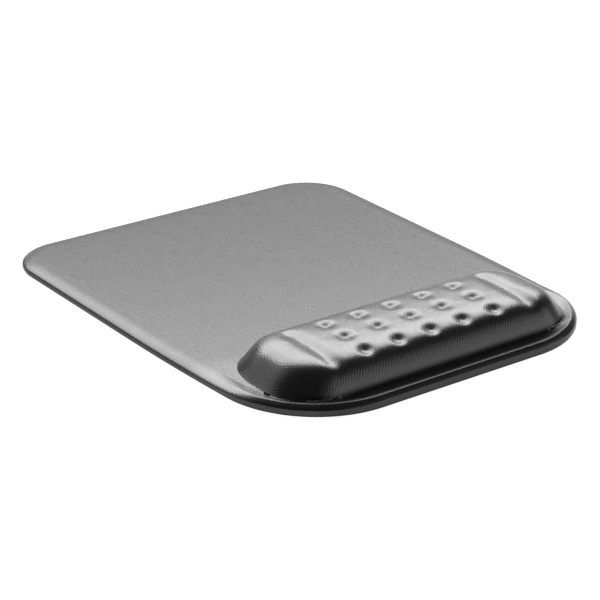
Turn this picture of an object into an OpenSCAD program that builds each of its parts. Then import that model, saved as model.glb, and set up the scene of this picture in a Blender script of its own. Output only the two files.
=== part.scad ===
// Mouse mat with a raised wrist rest along its near edge.
// A stretched knit cover is drawn over a foam sheet and a moulded wrist cushion, and the
// stack is bonded to a non-slip base. The top of the rest has rows of round dimples,
// with a shallow groove across it near each end.
// The origin is the middle of the outline, on the surface that the mat lies on.
// +Z is up and +Y points away from the user, so the rest lies along X at the -Y end.

/* [Mat outline] */
// Width across the mat
mat_w = 200; // [180:1:230]
// Length from the user's edge to the far edge
mat_l = 244; // [220:1:280]
// Corner radius at the far edge
far_corner_r = 27; // [15:1:40]
// Corner radius at the user's edge
near_corner_r = 51; // [40:1:55]
// Radius of the long arcs that draw the sides in towards the user
side_arc_r = 1230; // [800:10:2000]

/* [Edge] */
// Height of the upright face at the edge
edge_h = 2; // [1.8:0.1:3]
// Width of the rounded roll above the upright face
roll_w = 8; // [3:0.1:9]
// How much higher the edge stands round the user's end
near_lift = 1.1; // [0:0.1:1.5]
// Width of the rounded roll round the user's end
near_roll_w = 2.7; // [2:0.1:4.5]
// How full the roll is round the user's end: 2 is a quarter ellipse, 1 is a straight chamfer
near_roll_fullness = 1.3; // [1.1:0.1:2]

/* [Layers] */
// Thickness of the finished mat away from the rest
mat_t = 4.3; // [3.8:0.1:6]
// Thickness of the knit cover with its bonded backing
cover_t = 0.8; // [0.5:0.1:1]
// Thickness of each hot-melt bonding film
film_t = 0.1; // [0.05:0.05:0.2]
// Thickness of the non-slip base
base_t = 0.8; // [0.5:0.1:1.2]
// How far the base stops short of the cover's edge
base_inset = 0.5; // [0.2:0.1:1]

/* [Wrist rest] */
// Width of the rest at its foot
rest_w = 172.4; // [150:0.2:173]
// Depth of the rest at its foot, front to back
rest_d = 62.2; // [55:0.1:75]
// Flat ledge between the mat's front edge and the rest's foot
front_ledge = 11.8; // [10:0.1:15]
// Height of the rest above the mat
rest_h = 14; // [10:0.5:25]

/* [Rest faces] */
// Depth of the rounded corners in plan, measured from the front
front_shoulder_w = 26; // [25:1:34]
// Depth of the rounded corners in plan, measured from the back
back_shoulder_w = 27; // [15:1:34]
// Length of the rounded corners in plan, measured from the ends
end_shoulder_w = 25; // [18:1:45]
// Depth that the sloping front face would need to reach the top with no shoulder
front_run = 9.2; // [7:0.1:16]
// Depth that the sloping back face would need
back_run = 9.5; // [6:0.1:16]
// Length that each sloping end would need
end_run = 10.5; // [8:0.1:16]
// How tightly the front face turns over into the top
front_turn = 3.5; // [2:0.5:8]
// How tightly the back face turns over into the top
back_turn = 3.5; // [2:0.5:8]
// How tightly the ends turn over into the top
end_turn = 3; // [2:0.5:8]
// Shape of the front face's foot: below 1 it is upright, 1 is a straight slope
front_cove = 0.9; // [0.8:0.05:1.5]
// Shape of each end's foot: above 1 it is hollow
end_cove = 1.2; // [0.8:0.05:1.5]
// How square the corners of the rest are in plan: 2 is an ellipse
corner_squareness = 2; // [1.6:0.1:2.1]

/* [Dimples and grooves] */
// Spacing of the dimples along the rest
dimple_pitch = 19.1; // [15:0.1:24]
// Spacing of the dimple rows
row_pitch = 14.6; // [10:0.1:16]
// Distance from the rest's back foot to the first dimple row
first_row = 19.8; // [15:0.1:28]
// Depth of a dimple at its middle
dimple_depth = 2.1; // [0.5:0.1:2.5]
// Radius at which a dimple has faded to a third of its depth
dimple_r = 3.5; // [2.5:0.1:6]
// Distance of each end groove from the middle of the rest
groove_x = 57.5; // [50:0.5:62]
// Depth of the end grooves
groove_depth = 1.4; // [0.5:0.1:2]
// Half width of an end groove, where it has faded to a third of its depth
groove_r = 4.2; // [2:0.1:6]

/* [Hidden] */

// Heights of the layers, from the table up
core_z = base_t + film_t;
core_top_z = mat_t - cover_t - film_t;
under_cover_z = mat_t - cover_t;

// The edge rises towards the user between these two positions
rise_from_y = -60;
rise_to_y = -92;

// The rest's foot
rest_front_y = -mat_l / 2 + front_ledge;
rest_back_y = rest_front_y + rest_d;
rest_mid_y = (rest_front_y + rest_back_y) / 2;
foot_x = rest_w / 2;

// Dimples: three rows of five between the grooves
row_y = [for (k = [0:2]) rest_back_y - first_row - k * row_pitch];
row_reach = 2.5 * dimple_pitch;
groove_fade = 9;
// The surface drops to a third of a hollow's depth at its stated radius
third = ln(3);

// Centres of the outline's arcs, right half
near_c = [
    mat_w / 2 - side_arc_r
        + sqrt(pow(side_arc_r - near_corner_r, 2) - pow(mat_l / 2 - near_corner_r, 2)),
    near_corner_r - mat_l / 2
];
side_c = [mat_w / 2 - side_arc_r, 0];
far_c = [mat_w / 2 - far_corner_r, mat_l / 2 - far_corner_r];
near_end_a = atan2(near_c.y - side_c.y, near_c.x - side_c.x);
near_mid_a = (near_end_a - 90) / 2;

// Mesh counts: the rest is a grid of cols x rows points, and every ring of the outline has
// one point for each point on the grid's rim
half_cols = 27;
cols = 2 * half_cols + 1;
front_arc_n = 16;
straight_n = half_cols - front_arc_n;
side_split = [10, 4, 3, 12];
rows = side_split[0] + side_split[1] + side_split[2] + side_split[3] + 1;
roll_n = 5;
// Share of the grid spacing that is eased, closer together at the rest's foot
easing = 0.45;

function between(a, b, t) = a + (b - a) * t;
function clamp01(t) = min(1, max(0, t));
function eased(t) = between(t, (1 - cos(180 * t)) / 2, easing);
function smooth(t) = let (c = clamp01(t)) c * c * (3 - 2 * c);

// A station of the outline is the centre, radius and angle of the arc that passes there,
// so that the same station serves at any inset from the edge
function station(c, r, a) = [c.x, c.y, r, a];
function station_point(s, inset) =
    [s[0] + (s[2] - inset) * cos(s[3]), s[1] + (s[2] - inset) * sin(s[3])];
function arc_stations(c, r, a0, a1, n) =
    [for (k = [0:n - 1]) station(c, r, between(a0, a1, k / n))];
function line_stations(c0, c1, r, a, n) =
    [for (k = [0:n - 1]) station(between(c0, c1, k / n), r, a)];

// Right half of the outline, anticlockwise from the middle of the front edge
half_outline = concat(
    line_stations([0, near_c.y], near_c, near_corner_r, -90, straight_n),
    arc_stations(near_c, near_corner_r, -90, near_mid_a, front_arc_n),
    arc_stations(near_c, near_corner_r, near_mid_a, near_end_a, side_split[0]),
    arc_stations(side_c, side_arc_r, near_end_a, 0, side_split[1]),
    line_stations([far_c.x, 0], far_c, far_corner_r, 0, side_split[2]),
    arc_stations(far_c, far_corner_r, 0, 45, side_split[3]),
    arc_stations(far_c, far_corner_r, 45, 90, front_arc_n),
    line_stations(far_c, [0, far_c.y], far_corner_r, 90, straight_n),
    [station([0, far_c.y], far_corner_r, 90)]
);
half_n = len(half_outline) - 1;
outline = concat(
    half_outline,
    [for (k = [half_n - 1:-1:1]) let (s = half_outline[k]) [-s[0], s[1], s[2], 180 - s[3]]]
);
ring_n = len(outline);

function ring2(inset) = [for (s = outline) station_point(s, inset)];
function ring3(inset, z) = [for (s = outline) let (p = station_point(s, inset)) [p.x, p.y, z]];

// How far a station lies along the raised edge: 0 beside the mat, 1 round the user's end
function raised(s) = smooth((rise_from_y - station_point(s, 0).y) / (rise_from_y - rise_to_y));
function roll_of(s) = between(roll_w, near_roll_w, raised(s));

// One ring of the roll, at angle a up a superellipse from the upright face to the top
function roll_ring(inset, top_z, a) = [
    for (s = outline)
        let (
            power = 2 / between(2, near_roll_fullness, raised(s)),
            p = station_point(s, between(roll_of(s), inset, pow(cos(a), power)))
        )
        [p.x, p.y, near_lift * raised(s) + between(edge_h, top_z, pow(sin(a), power))]
];

// Rings up the edge: an upright skirt, then the roll
function edge_rings(inset, bottom_z, top_z) = concat(
    [ring3(inset, bottom_z)],
    [for (k = [0:roll_n]) roll_ring(inset, top_z, 90 * k / roll_n)]
);

// How far the point lies towards each side of the rest: 0 on the flat top, 1 at the foot
function front_share(y) = clamp01(1 - (y - rest_front_y) / front_shoulder_w);
function back_share(y) = clamp01(1 - (rest_back_y - y) / back_shoulder_w);
function end_share(x) = clamp01(1 - (foot_x - abs(x)) / end_shoulder_w);

// Half width of the rest's foot at y
function foot_half_w(y) =
    let (m = max(front_share(y), back_share(y)))
    foot_x - end_shoulder_w
        + end_shoulder_w * pow(1 - pow(m, corner_squareness), 1 / corner_squareness);

// Height of the plain rest above the mat, as a share of rest_h
function rest_share(x, y) =
    let (
        f = front_share(y),
        b = back_share(y),
        m = pow(max(f, b), corner_squareness),
        e = pow(end_share(x), corner_squareness),
        rho = pow(m + e, 1 / corner_squareness),
        end_mix = e / (m + e + 1e-9),
        side = f > b
            ? [front_shoulder_w, front_run, front_cove, front_turn]
            : [back_shoulder_w, back_run, 1, back_turn],
        end = [end_shoulder_w, end_run, end_cove, end_turn],
        local = between(side, end, end_mix),
        rise = pow(local[0] * clamp01(1 - rho) / local[1], local[2])
    )
    rise / pow(1 + pow(rise, local[3]), 1 / local[3]);

// Depth of the hollows pressed into the rest
function dimple(x, y, k) =
    let (dx = x - dimple_pitch * round(x / dimple_pitch), dy = y - row_y[k])
    abs(x) < row_reach ? exp(-third * (dx * dx + dy * dy) / pow(dimple_r, 2)) : 0;
function groove(x, y) =
    exp(-third * pow((abs(x) - groove_x) / groove_r, 2))
        * smooth((row_y[0] + groove_fade - y) / groove_fade)
        * smooth((y - row_y[2] + groove_fade) / groove_fade);
function hollow(x, y) =
    dimple_depth * (dimple(x, y, 0) + dimple(x, y, 1) + dimple(x, y, 2))
        + groove_depth * groove(x, y);

// Height of the finished surface over the rest
function surface_z(x, y) =
    let (share = rest_share(x, y))
    mat_t + max(0, rest_h * share - clamp01(1.6 * share - 0.2) * hollow(x, y));

// Grid over the rest: its rim is the foot of the rest
function grid_y(j) = between(rest_front_y, rest_back_y, eased(j / (rows - 1)));
function grid_x(i, y) = foot_half_w(y) * (2 * eased(i / (cols - 1)) - 1);
function on_rim(i, j) = i == 0 || j == 0 || i == cols - 1 || j == rows - 1;
cover_grid = [
    for (j = [0:rows - 1])
        let (y = grid_y(j))
        for (i = [0:cols - 1])
            let (x = grid_x(i, y))
            [x, y, on_rim(i, j) ? mat_t : surface_z(x, y)]
];

// The same grid on the inside of the cover, one cover thickness in along the normal
probe = 0.2;
function inward(p) =
    let (
        sx = (surface_z(p.x + probe, p.y) - surface_z(p.x - probe, p.y)) / (2 * probe),
        sy = (surface_z(p.x, p.y + probe) - surface_z(p.x, p.y - probe)) / (2 * probe),
        n = [-sx, -sy, 1]
    )
    p - cover_t * n / norm(n);
cushion_grid = [
    for (j = [0:rows - 1])
        for (i = [0:cols - 1])
            let (p = cover_grid[j * cols + i])
            on_rim(i, j) ? [p.x, p.y, under_cover_z] : inward(p)
];

// Grid indices around the rim, anticlockwise from the middle of the front
rim = concat(
    [for (i = [half_cols:cols - 1]) i],
    [for (j = [1:rows - 1]) j * cols + cols - 1],
    [for (i = [cols - 2:-1:0]) (rows - 1) * cols + i],
    [for (j = [rows - 2:-1:0]) j * cols],
    [for (i = [1:half_cols - 1]) i]
);
foot_ring = [for (k = rim) [cover_grid[k].x, cover_grid[k].y]];
function foot_ring3(z) = [for (p = foot_ring) [p.x, p.y, z]];

// Faces, wound clockwise as seen from outside: upper surfaces as listed, lower ones reversed
function reversed(faces) = [for (f = faces) [for (k = [len(f) - 1:-1:0]) f[k]]];
function strip(outer, inner) = [
    for (k = [0:ring_n - 1])
        let (n = (k + 1) % ring_n)
        each [[outer[k], inner[k], outer[n]], [outer[n], inner[k], inner[n]]]
];
function ring_ids(k) = [for (n = [0:ring_n - 1]) k * ring_n + n];
function fan(ring, hub) = [for (k = [0:ring_n - 1]) [ring[k], hub, ring[(k + 1) % ring_n]]];
// The diagonals lean towards the grid's middle, so that no triangle joins three rim points
function grid_faces(start) = [
    for (j = [0:rows - 2])
        for (i = [0:cols - 2])
            let (a = start + j * cols + i, b = a + cols)
            each (i < half_cols) == (j < rows / 2 - 1)
                ? [[a, b, b + 1], [a, b + 1, a + 1]]
                : [[a, b, a + 1], [a + 1, b, b + 1]]
];
function rim_ids(start) = [for (k = rim) start + k];
function skin_faces(ring_count) = concat(
    [for (k = [0:ring_count - 2]) each strip(ring_ids(k), ring_ids(k + 1))],
    strip(ring_ids(ring_count - 1), rim_ids(ring_count * ring_n)),
    grid_faces(ring_count * ring_n)
);

function flat(lists) = [for (l = lists) each l];
function shifted(faces, by) = [for (f = faces) [for (k = f) k + by]];

// Knit cover, one piece over the mat and the rest, wrapped down around the edge
module cover_fabric() {
    outer_rings = edge_rings(0, base_t, mat_t);
    inner_rings = edge_rings(cover_t, base_t, under_cover_z);
    outer = concat(flat(outer_rings), cover_grid);
    inner = concat(flat(inner_rings), cushion_grid);
    skin = skin_faces(len(outer_rings));
    color([0.17, 0.17, 0.18])
        polyhedron(
            points = concat(outer, inner),
            faces = concat(
                skin,
                shifted(reversed(skin), len(outer)),
                strip([for (k = ring_ids(0)) k + len(outer)], ring_ids(0))
            ),
            convexity = 6
        );
}

// Moulded soft foam of the wrist rest
module wrist_cushion() {
    color([0.62, 0.62, 0.6])
        polyhedron(
            points = concat(cushion_grid, [[0, rest_mid_y, under_cover_z]]),
            faces = concat(grid_faces(0), reversed(fan(rim_ids(0), len(cushion_grid)))),
            convexity = 6
        );
}

// Foam sheet that gives the mat its thickness
module mat_core() {
    rings = concat(edge_rings(cover_t, core_z, core_top_z), [foot_ring3(core_top_z)]);
    top = len(rings) - 1;
    under_hub = len(rings) * ring_n;
    color([0.5, 0.5, 0.5])
        polyhedron(
            points = concat(flat(rings), [[0, 0, core_z], [0, rest_mid_y, core_top_z]]),
            faces = concat(
                [for (k = [0:top - 1]) each strip(ring_ids(k), ring_ids(k + 1))],
                fan(ring_ids(top), under_hub + 1),
                reversed(fan(ring_ids(0), under_hub))
            ),
            convexity = 2
        );
}

module film(z, outer) {
    color([0.85, 0.85, 0.8])
        translate([0, 0, z])
            linear_extrude(film_t)
                polygon(outer);
}

// Film that holds the cover to the foam sheet, from the top of the roll to the rest's foot
module cover_bond_film() {
    rings = [
        roll_ring(cover_t, core_top_z, 90),
        roll_ring(cover_t, core_top_z + film_t, 90),
        foot_ring3(core_top_z + film_t),
        foot_ring3(core_top_z)
    ];
    color([0.85, 0.85, 0.8])
        polyhedron(
            points = flat(rings),
            faces = [for (k = [0:3]) each strip(ring_ids(k), ring_ids((k + 1) % 4))],
            convexity = 4
        );
}

// Film that holds the wrist cushion to the foam sheet
module cushion_bond_film() {
    film(core_top_z, foot_ring);
}

// Film that holds the foam sheet to the base
module base_bond_film() {
    film(base_t, ring2(cover_t));
}

// Non-slip base, the only piece that touches the table
module nonslip_base() {
    color([0.06, 0.06, 0.06])
        linear_extrude(base_t)
            polygon(ring2(base_inset));
}

cover_fabric();
cover_bond_film();
wrist_cushion();
cushion_bond_film();
mat_core();
base_bond_film();
nonslip_base();
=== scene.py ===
import math

import bpy
import numpy as np
from mathutils import Matrix, Vector


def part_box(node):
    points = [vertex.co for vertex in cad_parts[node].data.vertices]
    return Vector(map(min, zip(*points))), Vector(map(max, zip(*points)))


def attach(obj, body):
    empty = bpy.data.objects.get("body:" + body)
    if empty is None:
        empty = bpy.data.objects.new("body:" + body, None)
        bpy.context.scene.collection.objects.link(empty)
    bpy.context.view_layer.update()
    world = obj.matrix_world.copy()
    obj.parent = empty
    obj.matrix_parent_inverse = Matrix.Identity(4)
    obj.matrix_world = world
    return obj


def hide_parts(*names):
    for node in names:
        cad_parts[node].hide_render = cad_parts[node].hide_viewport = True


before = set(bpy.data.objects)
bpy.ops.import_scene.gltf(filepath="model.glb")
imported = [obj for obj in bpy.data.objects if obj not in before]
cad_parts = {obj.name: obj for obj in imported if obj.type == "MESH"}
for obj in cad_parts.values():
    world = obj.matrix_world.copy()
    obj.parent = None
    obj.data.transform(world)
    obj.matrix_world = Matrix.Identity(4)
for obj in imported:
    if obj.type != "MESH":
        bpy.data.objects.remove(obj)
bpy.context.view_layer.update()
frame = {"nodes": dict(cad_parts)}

# Mouse mat with a wrist rest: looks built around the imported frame.
# Lengths are in millimetres, until new_object() turns them into metres.

MM = 0.001
UV_PER_MM = 0.01  # one UV unit is 100 mm of fabric

# ---------------------------------------------------------------- sizes, as in the CAD source
base_low, base_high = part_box("nonslip_base")
cover_low, cover_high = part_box("cover_fabric")
MAT_W = (cover_high.x - cover_low.x) / MM
MAT_L = 244.0
BASE_T = (base_high.z - base_low.z) / MM
FAR_R, NEAR_R, SIDE_R = 27.0, 51.0, 1230.0
EDGE_H, ROLL_W, ROLL_POWER = 2.0, 8.0, 2.0
NEAR_LIFT, NEAR_ROLL_W, NEAR_ROLL_POWER = 1.1, 2.7, 1.3
NEAR_FROM, NEAR_TO = -60.0, -92.0
MAT_T, COVER_T, FOAM_GAP = 4.3, 0.8, 0.1
REST_FRONT = -MAT_L / 2 + 11.8
REST_BACK = REST_FRONT + 62.2
FOOT_X = 86.2
REST_H = 14.0
FRONT_W, BACK_W, END_W = 26.0, 27.0, 25.0
SQUARE = 2.0
# each side of the rest: plan depth of its corner, run of its face, cove at the foot,
# and sharpness of the shoulder
FRONT = np.array([FRONT_W, 9.2, 0.9, 3.5])
BACK = np.array([BACK_W, 9.5, 1.0, 3.5])
END = np.array([END_W, 10.5, 1.2, 3.0])
PITCH, ROW_PITCH, FIRST_ROW = 19.1, 14.6, 19.8
# the dimples here are 0.3 mm shallower than the dimple_depth of the CAD source
DIMPLE_D, DIMPLE_R = 1.8, 3.5
GROOVE_X, GROOVE_D, GROOVE_R, GROOVE_FADE = 57.5, 1.4, 4.2, 9.0
ROWS_Y = [REST_BACK - FIRST_ROW - k * ROW_PITCH for k in range(3)]
REACH = 2.5 * PITCH
REST_BLEND = 6.0  # the knit's shine and relief change over this far each side of the rest's back

NEAR_C = (
    MAT_W / 2 - SIDE_R + math.sqrt((SIDE_R - NEAR_R) ** 2 - (MAT_L / 2 - NEAR_R) ** 2),
    NEAR_R - MAT_L / 2,
)
SIDE_C = (MAT_W / 2 - SIDE_R, 0.0)
FAR_C = (MAT_W / 2 - FAR_R, MAT_L / 2 - FAR_R)
NEAR_END = math.degrees(math.atan2(NEAR_C[1] - SIDE_C[1], NEAR_C[0] - SIDE_C[0]))
NEAR_MID = (NEAR_END - 90) / 2


# ---------------------------------------------------------------- shape of the rest
def smooth(t):
    t = np.clip(t, 0, 1)
    return t * t * (3 - 2 * t)


def shares(x, y):
    f = np.clip(1 - (y - REST_FRONT) / FRONT_W, 0, 1)
    b = np.clip(1 - (REST_BACK - y) / BACK_W, 0, 1)
    e = np.clip(1 - (FOOT_X - np.abs(x)) / END_W, 0, 1)
    return f, b, e


def foot_half_w(y):
    f, b, _ = shares(np.zeros_like(y), y)
    m = np.maximum(f, b)
    return FOOT_X - END_W + END_W * (1 - m**SQUARE) ** (1 / SQUARE)


def rest_share(x, y):
    f, b, e = shares(x, y)
    m, e = np.maximum(f, b) ** SQUARE, e**SQUARE
    rho = (m + e) ** (1 / SQUARE)
    mix = e / (m + e + 1e-9)
    sides = zip(FRONT, BACK, END)
    depth, run, cove, turn = (np.where(f > b, p, q) * (1 - mix) + r * mix for p, q, r in sides)
    rise = (depth * np.clip(1 - rho, 0, 1) / run) ** cove
    return rise / (1 + rise**turn) ** (1 / turn)


def hollow(x, y):
    third = math.log(3)  # a dimple or groove is a third of its depth at its radius
    total = np.zeros_like(x)
    dx = x - PITCH * np.round(x / PITCH)
    for row in ROWS_Y:
        fall = np.exp(-third * (dx**2 + (y - row) ** 2) / DIMPLE_R**2)
        total += DIMPLE_D * np.where(np.abs(x) < REACH, fall, 0)
    groove = np.exp(-third * ((np.abs(x) - GROOVE_X) / GROOVE_R) ** 2)
    groove *= smooth((ROWS_Y[0] + GROOVE_FADE - y) / GROOVE_FADE)
    groove *= smooth((y - ROWS_Y[2] + GROOVE_FADE) / GROOVE_FADE)
    return total + GROOVE_D * groove


def surface_z(x, y):
    share = rest_share(x, y)
    dip = np.clip(1.6 * share - 0.2, 0, 1) * hollow(x, y)
    return MAT_T + np.maximum(0, REST_H * share - dip)


# ---------------------------------------------------------------- outline and grid
def half_outline(straight, corner, side):
    """Stations (centre x, centre y, radius, angle) from the middle of the front to the middle of the back."""
    out = []

    def arc(c, r, a0, a1, n):
        out.extend((c[0], c[1], r, a0 + (a1 - a0) * k / n) for k in range(n))

    def line(c0, c1, r, a, n):
        for k in range(n):
            t = k / n
            out.append((c0[0] + (c1[0] - c0[0]) * t, c0[1] + (c1[1] - c0[1]) * t, r, a))

    line((0, NEAR_C[1]), NEAR_C, NEAR_R, -90, straight)
    arc(NEAR_C, NEAR_R, -90, NEAR_MID, corner)
    arc(NEAR_C, NEAR_R, NEAR_MID, NEAR_END, side[0])
    arc(SIDE_C, SIDE_R, NEAR_END, 0, side[1])
    line((FAR_C[0], 0), FAR_C, FAR_R, 0, side[2])
    arc(FAR_C, FAR_R, 0, 45, side[3])
    arc(FAR_C, FAR_R, 45, 90, corner)
    line(FAR_C, (0, FAR_C[1]), FAR_R, 90, straight)
    out.append((0, FAR_C[1], FAR_R, 90))
    return out


def full_outline(straight, corner, side):
    half = half_outline(straight, corner, side)
    left = [(-cx, cy, r, 180 - a) for cx, cy, r, a in half[-2:0:-1]]
    return np.array(half + left)


def ring2(stations, inset):
    a = np.radians(stations[:, 3])
    r = stations[:, 2] - inset
    return np.stack([stations[:, 0] + r * np.cos(a), stations[:, 1] + r * np.sin(a)], 1)


def nearness(stations):
    """0 along the far part of the edge, 1 round the near end."""
    y = ring2(stations, 0)[:, 1]
    return smooth((NEAR_FROM - y) / (NEAR_FROM - NEAR_TO))


def eased(t, easing):
    return t * (1 - easing) + easing * (1 - np.cos(np.pi * t)) / 2


def rest_grid(cols, rows, easing):
    """Points over the rest, rows x cols x 3, whose rim is the foot."""
    y = REST_FRONT + (REST_BACK - REST_FRONT) * eased(np.linspace(0, 1, rows), easing)
    s = 2 * eased(np.linspace(0, 1, cols), easing) - 1
    x = foot_half_w(y)[:, None] * s[None, :]
    y = np.repeat(y[:, None], cols, 1)
    z = surface_z(x, y)
    z[0], z[-1], z[:, 0], z[:, -1] = MAT_T, MAT_T, MAT_T, MAT_T
    return np.stack([x, y, z], 2)


def rim_of(cols, rows):
    """Grid indices around the rim, anticlockwise from the middle of the front."""
    half = cols // 2
    front = [i for i in range(half, cols)]
    right = [j * cols + cols - 1 for j in range(1, rows)]
    back = [(rows - 1) * cols + i for i in range(cols - 2, -1, -1)]
    left = [j * cols for j in range(rows - 2, -1, -1)]
    return np.array(front + right + back + left + [i for i in range(1, half)])


def grid_quads(cols, rows, start=0):
    a = start + np.arange(cols - 1)[None, :] + cols * np.arange(rows - 1)[:, None]
    a = a.ravel()
    return np.stack([a, a + 1, a + cols + 1, a + cols], 1)


def strip_quads(outer, inner):
    return np.stack([outer, np.roll(outer, -1), np.roll(inner, -1), inner], 1)


# ---------------------------------------------------------------- mesh helpers
def new_object(name, verts, faces, uv=None, sharp=None):
    mesh = bpy.data.meshes.new(name)
    mesh.from_pydata((np.asarray(verts) * MM).tolist(), [], [list(map(int, f)) for f in faces])
    mesh.validate(clean_customdata=False)
    if uv is not None:
        layer = mesh.uv_layers.new(name="weave")
        loops = np.zeros(len(mesh.loops), np.int32)
        mesh.loops.foreach_get("vertex_index", loops)
        layer.data.foreach_set("uv", (np.asarray(uv)[loops] * UV_PER_MM).astype(np.float32).ravel())
    mesh.polygons.foreach_set("use_smooth", np.ones(len(mesh.polygons), bool))
    if sharp is not None:
        mesh.set_sharp_from_angle(angle=math.radians(sharp))
    mesh.update()
    obj = bpy.data.objects.new(name, mesh)
    bpy.context.scene.collection.objects.link(obj)
    return obj


def vertex_normals(verts, quads):
    v = verts[quads]
    n = np.cross(v[:, 2] - v[:, 0], v[:, 3] - v[:, 1])
    out = np.zeros_like(verts)
    for k in range(4):
        np.add.at(out, quads[:, k], n)
    return out / (np.linalg.norm(out, axis=1)[:, None] + 1e-12)


def relax(verts, quads, weight, times):
    """Laplacian smoothing, by weight at each vertex."""
    a = np.concatenate([quads[:, [0, 1]], quads[:, [1, 2]], quads[:, [2, 3]], quads[:, [3, 0]]])
    a = np.unique(np.sort(a, 1), axis=0)
    count = np.bincount(a.ravel(), minlength=len(verts))[:, None]
    for _ in range(times):
        total = np.zeros_like(verts)
        np.add.at(total, a[:, 0], verts[a[:, 1]])
        np.add.at(total, a[:, 1], verts[a[:, 0]])
        verts = verts + weight[:, None] * (total / count - verts)
    return verts


# ---------------------------------------------------------------- the knit cover
def fabric_coordinates(points):
    """Lengths along the surface, measured across at constant y and along at constant x."""
    step = 0.25
    x = np.arange(-FOOT_X - 1, FOOT_X + 1 + step, step)
    y = np.arange(REST_FRONT - 1, REST_BACK + 1 + step, step)
    z = surface_z(*np.meshgrid(x, y))
    mid_x, mid_y = len(x) // 2, len(y) // 2
    u = np.cumsum(np.pad(np.hypot(step, np.diff(z, axis=1)), ((0, 0), (1, 0))), 1)
    v = np.cumsum(np.pad(np.hypot(step, np.diff(z, axis=0)), ((1, 0), (0, 0))), 0)
    u += x[mid_x] - u[:, mid_x : mid_x + 1]
    v += y[mid_y] - v[mid_y : mid_y + 1, :]
    fx = np.clip((points[:, 0] - x[0]) / step, 0, len(x) - 1.001)
    fy = np.clip((points[:, 1] - y[0]) / step, 0, len(y) - 1.001)
    i, j = fx.astype(int), fy.astype(int)
    fx, fy = fx - i, fy - j

    def sample(f):
        low = f[j, i] * (1 - fx) + f[j, i + 1] * fx
        high = f[j + 1, i] * (1 - fx) + f[j + 1, i + 1] * fx
        return low * (1 - fy) + high * fy

    return np.column_stack([sample(u), sample(v)])


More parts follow.
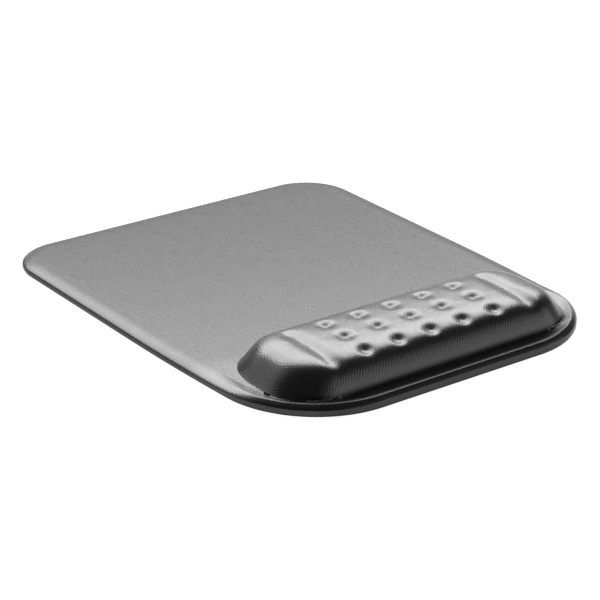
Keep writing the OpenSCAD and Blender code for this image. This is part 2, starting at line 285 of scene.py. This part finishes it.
def make_cover():
    half, corner, side = 108, 64, (40, 16, 12, 48)
    cols, rows = 2 * half + 1, sum(side) + 1
    stations = full_outline(half - corner, corner, side)
    n = len(stations)
    grid = rest_grid(cols, rows, 0.75)
    rim = rim_of(cols, rows)
    foot = grid.reshape(-1, 3)[rim]

    grid_uv = fabric_coordinates(grid.reshape(-1, 3))
    slip = grid_uv[rim] - foot[:, :2]

    rings, uvs = [], []
    out = np.stack([np.cos(np.radians(stations[:, 3])), np.sin(np.radians(stations[:, 3]))], 1)
    roll_n = 10
    near_share = nearness(stations)
    roll_w = ROLL_W + (NEAR_ROLL_W - ROLL_W) * near_share
    lift = NEAR_LIFT * near_share
    power = 2 / (ROLL_POWER + (NEAR_ROLL_POWER - ROLL_POWER) * near_share)
    profile = [(0 * roll_w, 0 * roll_w + BASE_T)]
    for k in range(roll_n + 1):
        a = math.pi / 2 * min(k / roll_n, 1 - 1e-9)
        up = math.sin(a) ** power
        profile.append((roll_w * (1 - math.cos(a) ** power), lift + EDGE_H + (MAT_T - EDGE_H) * up))
    inner_edge = ring2(stations, roll_w)
    length = 0 * roll_w
    lengths = [length]
    for (i0, z0), (i1, z1) in zip(profile, profile[1:]):
        length = length + np.hypot(i1 - i0, z1 - z0)
        lengths.append(length)
    for (inset, z), s in zip(profile, lengths):
        p = ring2(stations, inset)
        rings.append(np.column_stack([p, z]))
        uvs.append(inner_edge + slip + out * (length - s)[:, None])
    to_foot = foot[:, :2] - inner_edge
    span = np.linalg.norm(to_foot, axis=1)
    near = np.array([3.2, 2.2, 1.5, 1.0, 0.65, 0.35])
    # the flat part: even steps, then close steps by the crease
    far_n = 10
    for k in range(1, far_n):
        t = k / far_n * (1 - np.minimum(near[0] / span, 0.9))
        p = inner_edge + to_foot * t[:, None]
        rings.append(np.column_stack([p, MAT_T + lift * (1 - t) ** 1.5]))
        uvs.append(p + slip)
    for d in near:
        t = 1 - np.minimum(d / span, 0.9 * d / near[0])
        p = inner_edge + to_foot * t[:, None]
        rings.append(np.column_stack([p, MAT_T + lift * (1 - t) ** 1.5]))
        uvs.append(p + slip)

    verts = np.concatenate(rings + [grid.reshape(-1, 3)])
    uv = np.concatenate(uvs + [grid_uv])
    ids = [np.arange(n) + k * n for k in range(len(rings))]
    start = len(rings) * n
    ids.append(rim + start)
    quads = np.concatenate(
        [strip_quads(ids[k], ids[k + 1]) for k in range(len(ids) - 1)] + [grid_quads(cols, rows, start)]
    )

    # the crease at the foot is pressed in, not cut: round it by about half a millimetre
    weight = np.zeros(len(verts))
    for k, d in enumerate(near):
        weight[ids[len(rings) - len(near) + k]] = max(0.0, 0.5 * (1 - d / 2.0))
    height = verts[start:, 2] - MAT_T
    weight[start:] = 0.5 * np.clip(1 - height / 3.0, 0, 1)
    inside = np.ones((rows, cols), bool)
    inside[8:-8, 8:-8] = False
    weight[start:] *= inside.ravel()
    verts = relax(verts, quads, weight, 4)

    # painted shade: how far the knit is darkened towards a matt near-black, in the crease along the front, up
    # the foot of the rest, over the front edge's roll and a little along the bottom of the edge all round
    facing = smooth((-out[:, 1] - 0.75) / 0.2)
    painted_shade = np.zeros(len(verts))
    for k in range(1, far_n):
        painted_shade[ids[roll_n + 1 + k]] = facing * smooth(k / far_n / 0.35)
    for k in range(len(near)):
        painted_shade[ids[len(rings) - 1 - k]] = facing
    y, z = verts[start:, 1], verts[start:, 2]
    painted_shade[start:] = smooth((MAT_T + 3.0 - z) / 3.0) * smooth((REST_FRONT + 8 - y) / 5)
    for k in range(6):
        painted_shade[ids[k]] = (0.25 + 0.2 * facing) * (1 - k / 6)
    for k in range(8, roll_n + 3):
        painted_shade[ids[k]] = np.maximum(painted_shade[ids[k]], 0.6 * facing)

    normals = vertex_normals(verts, quads)
    inner = verts - COVER_T * normals
    bottom = ids[0]
    flat_out = np.column_stack([out, np.zeros(n)])
    inner[bottom] = verts[bottom] - COVER_T * flat_out
    inner[ids[1]] = verts[ids[1]] - COVER_T * flat_out
    shift = len(verts)
    all_quads = np.concatenate([quads, quads[:, ::-1] + shift, strip_quads(bottom + shift, bottom)])
    both = np.concatenate([verts, inner])
    obj = new_object("cover_knit", both, all_quads, np.concatenate([uv, uv]), sharp=70)
    # the painted shade goes to the knit material as a point attribute
    layer = obj.data.attributes.new("painted_shade", "FLOAT", "POINT")
    layer.data.foreach_set("value", np.concatenate([painted_shade, painted_shade]).astype(np.float32))
    return obj


# ---------------------------------------------------------------- the moulded pad
def make_foam():
    """The rest's soft pad, filling the cover and lying on its bonding film."""
    cols, rows = 161, 113
    grid = rest_grid(cols, rows, 0.6)
    quads = grid_quads(cols, rows)
    top = grid.reshape(-1, 3)
    rim = rim_of(cols, rows)
    normals = vertex_normals(top, quads)
    skin = top - (COVER_T + FOAM_GAP) * normals
    centre = np.array([0, (REST_FRONT + REST_BACK) / 2, 0])
    inward = centre - top[rim]
    inward[:, 2] = 0
    inward /= np.linalg.norm(inward, axis=1)[:, None]
    skin[rim] = top[rim] + 0.3 * inward
    skin[rim, 2] = MAT_T - COVER_T + 0.1
    skin[:, 2] = np.maximum(skin[:, 2], MAT_T - COVER_T + 0.1)
    under = np.column_stack([skin[:, :2], np.full(len(skin), MAT_T - COVER_T)])
    shift = len(skin)
    all_quads = np.concatenate([quads, quads[:, ::-1] + shift, strip_quads(rim + shift, rim)])
    return new_object("wrist_foam", np.concatenate([skin, under]), all_quads, sharp=50)


# ---------------------------------------------------------------- materials
def material(name):
    m = bpy.data.materials.new(name)
    m.use_nodes = True
    nodes = m.node_tree.nodes
    nodes.clear()
    bsdf = nodes.new("ShaderNodeBsdfPrincipled")
    out = nodes.new("ShaderNodeOutputMaterial")
    m.node_tree.links.new(bsdf.outputs[0], out.inputs["Surface"])
    return m, nodes, m.node_tree.links, bsdf


def math_node(nodes, links, op, a, b=None, c=None):
    n = nodes.new("ShaderNodeMath")
    n.operation = op
    for k, value in enumerate((a, b, c)):
        if value is None:
            continue
        if isinstance(value, (int, float)):
            n.inputs[k].default_value = value
        else:
            links.new(value, n.inputs[k])
    return n.outputs[0]


def noise(nodes, links, vector, scale, detail=3.0, rough=0.5):
    n = nodes.new("ShaderNodeTexNoise")
    n.inputs["Scale"].default_value = scale
    n.inputs["Detail"].default_value = detail
    n.inputs["Roughness"].default_value = rough
    links.new(vector, n.inputs["Vector"])
    return n.outputs["Fac"]


def ramp(nodes, links, fac, low, high, at=(0.0, 1.0)):
    n = nodes.new("ShaderNodeValToRGB")
    n.color_ramp.elements[0].position, n.color_ramp.elements[1].position = at
    n.color_ramp.elements[0].color = (*low, 1)
    n.color_ramp.elements[1].color = (*high, 1)
    links.new(fac, n.inputs["Fac"])
    return n.outputs["Color"]


def map_range(nodes, links, value, to_min, to_max, from_min=0.0, from_max=1.0):
    n = nodes.new("ShaderNodeMapRange")
    for key, v in (("From Min", from_min), ("From Max", from_max), ("To Min", to_min), ("To Max", to_max)):
        n.inputs[key].default_value = v
    links.new(value, n.inputs["Value"])
    return n.outputs["Result"]


def knit_material():
    m, nodes, links, bsdf = material("knit")
    uv = nodes.new("ShaderNodeUVMap")
    uv.uv_map = "weave"
    scale = nodes.new("ShaderNodeVectorMath")
    scale.operation = "SCALE"
    scale.inputs["Scale"].default_value = 1 / UV_PER_MM
    links.new(uv.outputs[0], scale.inputs[0])
    mm = scale.outputs[0]
    # a slow wander of the yarns, so that no row is ruler straight
    drift = nodes.new("ShaderNodeTexNoise")
    drift.inputs["Scale"].default_value = 0.09
    drift.inputs["Detail"].default_value = 0.0
    links.new(mm, drift.inputs["Vector"])
    shift = nodes.new("ShaderNodeVectorMath")
    shift.operation = "MULTIPLY_ADD"
    links.new(drift.outputs["Color"], shift.inputs[0])
    shift.inputs[1].default_value = (0.8, 0.8, 0)
    links.new(mm, shift.inputs[2])
    sep = nodes.new("ShaderNodeSeparateXYZ")
    links.new(shift.outputs[0], sep.inputs[0])
    u, v = sep.outputs["X"], sep.outputs["Y"]
    two_pi = 2 * math.pi

    def rib(per_u, per_v):
        """A sine wave with so many ribs per millimetre along u and v."""
        along_v = math_node(nodes, links, "MULTIPLY", v, per_v * two_pi)
        phase = math_node(nodes, links, "MULTIPLY_ADD", u, per_u * two_pi, along_v)
        return math_node(nodes, links, "SINE", phase)

    ribs = math_node(nodes, links, "MULTIPLY_ADD", rib(0.62, 0.42), 0.5, rib(0.62, -0.42))
    fine_u = math_node(nodes, links, "SINE", math_node(nodes, links, "MULTIPLY", u, two_pi / 0.46))
    fine_v = math_node(nodes, links, "SINE", math_node(nodes, links, "MULTIPLY", v, two_pi / 0.34))
    loops = math_node(nodes, links, "MULTIPLY", fine_u, fine_v)
    fuzz = noise(nodes, links, mm, 1.0, 1.0, 0.5)
    height = math_node(nodes, links, "MULTIPLY_ADD", ribs, 0.5, fuzz)
    bump = nodes.new("ShaderNodeBump")
    far, near = REST_BACK + REST_BLEND, REST_BACK - REST_BLEND
    links.new(map_range(nodes, links, v, 0.55, 1.0, far, near), bump.inputs["Strength"])
    bump.inputs["Distance"].default_value = 0.000033
    links.new(height, bump.inputs["Height"])
    links.new(bump.outputs[0], bsdf.inputs["Normal"])
    # colour: uneven dye over a few centimetres, a fine loop pattern, and painted shade darkening the low
    # parts of the ribs
    dye = noise(nodes, links, mm, 0.03, 3.0, 0.55)
    shade = math_node(nodes, links, "MULTIPLY_ADD", loops, 0.15, dye)
    # painted shade: the low parts of the ribs are darker
    shade = math_node(nodes, links, "MULTIPLY_ADD", height, 0.22, shade)
    colour = ramp(nodes, links, shade, (0.004, 0.004, 0.004), (0.011, 0.011, 0.011), (0.2, 1.2))
    links.new(colour, bsdf.inputs["Base Color"])
    wear = noise(nodes, links, mm, 0.12, 3.0)
    links.new(map_range(nodes, links, wear, 0.24, 0.32), bsdf.inputs["Roughness"])
    bsdf.inputs["IOR"].default_value = 1.5
    # the knit is stretched over the rest, and shines a little more there
    shine = map_range(nodes, links, v, 0.5, 0.72, far, near)
    links.new(shine, bsdf.inputs["Specular IOR Level"])
    # painted shade: where the attribute says, the knit is mixed towards a matt near-black diffuse
    painted_shade_attr = nodes.new("ShaderNodeAttribute")
    painted_shade_attr.attribute_name = "painted_shade"
    painted_black = nodes.new("ShaderNodeBsdfDiffuse")
    painted_black.inputs["Color"].default_value = (0.004, 0.004, 0.004, 1)
    mix = nodes.new("ShaderNodeMixShader")
    links.new(math_node(nodes, links, "MULTIPLY", painted_shade_attr.outputs["Fac"], 0.92), mix.inputs["Fac"])
    links.new(bsdf.outputs[0], mix.inputs[1])
    links.new(painted_black.outputs[0], mix.inputs[2])
    output = next(n for n in nodes if n.type == "OUTPUT_MATERIAL")
    links.new(mix.outputs[0], output.inputs["Surface"])
    bsdf.inputs["Sheen Weight"].default_value = 0.03
    bsdf.inputs["Sheen Roughness"].default_value = 0.4
    bsdf.inputs["Sheen Tint"].default_value = (0.9, 0.9, 0.92, 1)
    return m


def foam_material(name, low, high, cell_scale):
    m, nodes, links, bsdf = material(name)
    coord = nodes.new("ShaderNodeTexCoord")
    cells = nodes.new("ShaderNodeTexVoronoi")
    cells.feature = "DISTANCE_TO_EDGE"
    cells.inputs["Scale"].default_value = cell_scale
    links.new(coord.outputs["Object"], cells.inputs["Vector"])
    blotch = noise(nodes, links, coord.outputs["Object"], 60.0, 3.0)
    wall = map_range(nodes, links, cells.outputs["Distance"], 1.0, 0.0, 0.0, 0.35)
    half_blotch = math_node(nodes, links, "MULTIPLY", blotch, 0.5)
    shade = math_node(nodes, links, "MULTIPLY_ADD", wall, 0.5, half_blotch)
    links.new(ramp(nodes, links, shade, low, high), bsdf.inputs["Base Color"])
    links.new(map_range(nodes, links, blotch, 0.8, 0.95), bsdf.inputs["Roughness"])
    bump = nodes.new("ShaderNodeBump")
    bump.inputs["Distance"].default_value = 0.0003
    bump.inputs["Strength"].default_value = 0.8
    links.new(wall, bump.inputs["Height"])
    links.new(bump.outputs[0], bsdf.inputs["Normal"])
    return m


def film_material():
    m, nodes, links, bsdf = material("film")
    coord = nodes.new("ShaderNodeTexCoord")
    blotch = noise(nodes, links, coord.outputs["Object"], 140.0, 3.0)
    links.new(ramp(nodes, links, blotch, (0.62, 0.58, 0.47), (0.78, 0.75, 0.65)), bsdf.inputs["Base Color"])
    links.new(map_range(nodes, links, blotch, 0.25, 0.45), bsdf.inputs["Roughness"])
    bump = nodes.new("ShaderNodeBump")
    bump.inputs["Distance"].default_value = 0.0001
    bump.inputs["Strength"].default_value = 0.4
    links.new(blotch, bump.inputs["Height"])
    links.new(bump.outputs[0], bsdf.inputs["Normal"])
    return m


def rubber_material():
    m, nodes, links, bsdf = material("rubber")
    coord = nodes.new("ShaderNodeTexCoord")
    grain = noise(nodes, links, coord.outputs["Object"], 2600.0, 3.0)
    dust = noise(nodes, links, coord.outputs["Object"], 35.0, 4.0)
    colour = ramp(nodes, links, dust, (0.008, 0.008, 0.008), (0.017, 0.017, 0.018))
    links.new(colour, bsdf.inputs["Base Color"])
    links.new(map_range(nodes, links, dust, 0.62, 0.8), bsdf.inputs["Roughness"])
    bump = nodes.new("ShaderNodeBump")
    bump.inputs["Distance"].default_value = 0.00005
    bump.inputs["Strength"].default_value = 0.7
    links.new(grain, bump.inputs["Height"])
    links.new(bump.outputs[0], bsdf.inputs["Normal"])
    return m


def assign(obj, mat):
    obj.data.materials.clear()
    obj.data.materials.append(mat)


# ---------------------------------------------------------------- camera, light, floor
def make_stage():
    cam = bpy.data.cameras.new("camera")
    cam.sensor_width = 36.0
    cam.lens = 128.401
    cam.clip_start, cam.clip_end = 0.05, 50.0
    obj = bpy.data.objects.new("camera", cam)
    bpy.context.scene.collection.objects.link(obj)
    right = Vector((0.80314888, -0.59571039, 0.00900064))
    up = Vector((0.23376695, 0.32899328, 0.91494067))
    back = Vector((-0.54800081, -0.73272953, 0.40348798))
    place = Vector((-0.58070348, -0.77366566, 0.42256531))
    obj.matrix_world = Matrix((
        (right.x, up.x, back.x, place.x),
        (right.y, up.y, back.y, place.y),
        (right.z, up.z, back.z, place.z),
        (0, 0, 0, 1),
    ))
    bpy.context.scene.camera = obj

    def area(name, azimuth, elevation, distance, size_x, size_y, power):
        light = bpy.data.lights.new(name, "AREA")
        light.shape = "RECTANGLE"
        light.size, light.size_y, light.energy = size_x, size_y, power
        lamp = bpy.data.objects.new(name, light)
        bpy.context.scene.collection.objects.link(lamp)
        a, e = math.radians(azimuth), math.radians(elevation)
        to = Vector((math.cos(a) * math.cos(e), math.sin(a) * math.cos(e), math.sin(e)))
        lamp.location = to * distance
        lamp.rotation_mode = "QUATERNION"
        lamp.rotation_quaternion = to.to_track_quat("Z", "Y")
        return lamp

    # the azimuth that the mat's top mirrors towards the camera
    behind = math.degrees(math.atan2(0.805, 0.602))
    area("softbox", behind + 12, 46, 1.5, 2.0, 0.95, 40)
    area("backdrop", behind, 20, 2.5, 3.0, 1.4, 13)
    area("side card", 121, 30, 1.8, 1.5, 1.2, 6)
    area("front card", 305, 17, 2.5, 3.4, 1.3, 20)

    world = bpy.data.worlds.new("world")
    world.use_nodes = True
    world.node_tree.nodes["Background"].inputs["Color"].default_value = (0.9, 0.92, 0.95, 1)
    world.node_tree.nodes["Background"].inputs["Strength"].default_value = 0.05
    bpy.context.scene.world = world

    half = 6.0
    mesh = bpy.data.meshes.new("floor")
    z = -0.0002
    corners = [(-half, -half, z), (half, -half, z), (half, half, z), (-half, half, z)]
    mesh.from_pydata(corners, [], [(0, 1, 2, 3)])
    floor = bpy.data.objects.new("floor", mesh)
    bpy.context.scene.collection.objects.link(floor)
    m, nodes, links, bsdf = material("floor")
    bsdf.inputs["Base Color"].default_value = (0.35, 0.35, 0.35, 1)
    bsdf.inputs["Roughness"].default_value = 0.9
    bsdf.inputs["Specular IOR Level"].default_value = 0.0
    bsdf.inputs["Emission Color"].default_value = (1, 1, 1, 1)
    bsdf.inputs["Emission Strength"].default_value = 0.95
    assign(floor, m)
    bpy.context.scene.view_settings.view_transform = "Standard"
    bpy.context.scene.view_settings.look = "None"


make_stage()
cover = make_cover()
assign(cover, knit_material())
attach(cover, "root")
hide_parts("cover_fabric")

foam = make_foam()
assign(foam, foam_material("cushion foam", (0.3, 0.3, 0.29), (0.6, 0.6, 0.58), 900.0))
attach(foam, "root")
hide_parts("wrist_cushion")

nodes = frame["nodes"]
assign(nodes["mat_core"], foam_material("core foam", (0.1, 0.1, 0.1), (0.25, 0.25, 0.25), 1400.0))
film = film_material()
for name in ("cover_bond_film", "cushion_bond_film", "base_bond_film"):
    assign(nodes[name], film)
assign(nodes["nonslip_base"], rubber_material())
